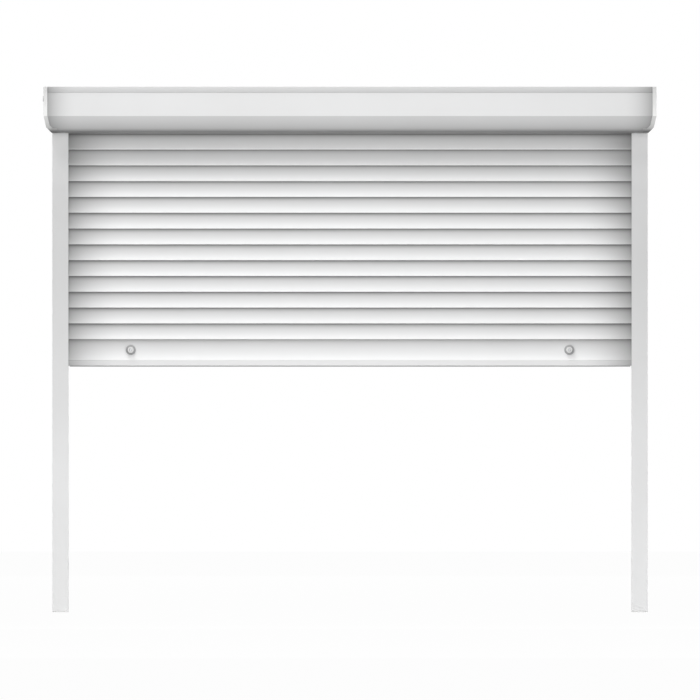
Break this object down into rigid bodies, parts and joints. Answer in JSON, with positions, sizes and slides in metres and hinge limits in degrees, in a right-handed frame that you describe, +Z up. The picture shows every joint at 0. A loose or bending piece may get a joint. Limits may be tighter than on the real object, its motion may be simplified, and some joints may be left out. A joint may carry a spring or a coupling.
{
  "type": "exterior roller shutter",
  "caption": "Front-mounted exterior roller shutter with a rounded box, slim guide rails and a white slat curtain that a tube motor raises and lowers.",
  "frame": {"origin": "centre of the wall screw pattern, on the wall plane midway up the guide rails", "axes": "+X across the shutter to the right seen from outside, +Y into the wall, +Z up"},
  "size_m": [2.012, 0.15, 1.725],
  "materials": {
    "coated_white": "satin",
    "slat_white": "satin",
    "plastic_white": "satin",
    "rubber_black": "matte",
    "stopper_grey": "satin",
    "steel": "satin",
    "zinc_sheet": "satin",
    "black_plastic": "satin",
    "motor_tube": "satin",
    "foam": "matte"
  },
  "bodies": {
    "frame": {"box_shell": "coated_white", "front_panel": "coated_white", "end_cap_left": "plastic_white", "end_cap_right": "plastic_white", "panel_screws": "steel", "cable_grommet": "rubber_black", "rail_base_left": "coated_white", "rail_base_right": "coated_white", "rail_cover_left": "coated_white", "rail_cover_right": "coated_white", "rail_seals_left": "rubber_black", "rail_seals_right": "rubber_black", "infeed_funnel_left": "plastic_white", "infeed_funnel_right": "plastic_white", "rail_foot_left": "plastic_white", "rail_foot_right": "plastic_white", "motor_bracket": "zinc_sheet", "motor_head": "black_plastic", "motor_body": "motor_tube", "ball_bearing": "steel", "bearing_holder": "zinc_sheet"},
    "curtain": {"slat_01": "slat_white", "slat_02": "slat_white", "slat_03": "slat_white", "slat_04": "slat_white", "slat_05": "slat_white", "slat_06": "slat_white", "slat_07": "slat_white", "slat_08": "slat_white", "slat_09": "slat_white", "slat_10": "slat_white", "slat_11": "slat_white", "slat_12": "slat_white", "slat_13": "slat_white", "infeed_slats": "slat_white", "foam_cores": "foam", "end_locks": "plastic_white", "bottom_bar": "slat_white", "bar_seal": "rubber_black", "bar_plug_left": "plastic_white", "bar_plug_right": "plastic_white", "stopper_left": "stopper_grey", "stopper_right": "stopper_grey", "stopper_screws": "steel"},
    "winding": {"winding_tube": "zinc_sheet", "wound_slats": "slat_white", "slat_hangers": "steel", "motor_shaft": "steel", "drive_crown": "black_plastic", "limit_ring": "black_plastic", "idler_capsule": "black_plastic", "idler_pin": "steel"}
  },
  "joints": [
    {"name": "curtain_lift", "type": "slide", "parent": "frame", "child": "curtain", "axis": [0, 0, 1], "range_m": [-0.805, 0.09], "deforming": ["infeed_slats"]},
    {"name": "tube_turn", "type": "hinge", "parent": "frame", "child": "winding", "pos_m": [0, -0.07664, 0.8625], "axis": [1, 0, 0], "range_deg": [-832, 95]}
  ],
  "couplings": [
    {"joint": "tube_turn", "follows": "curtain_lift", "rad_per_m": 17.974}
  ]
}
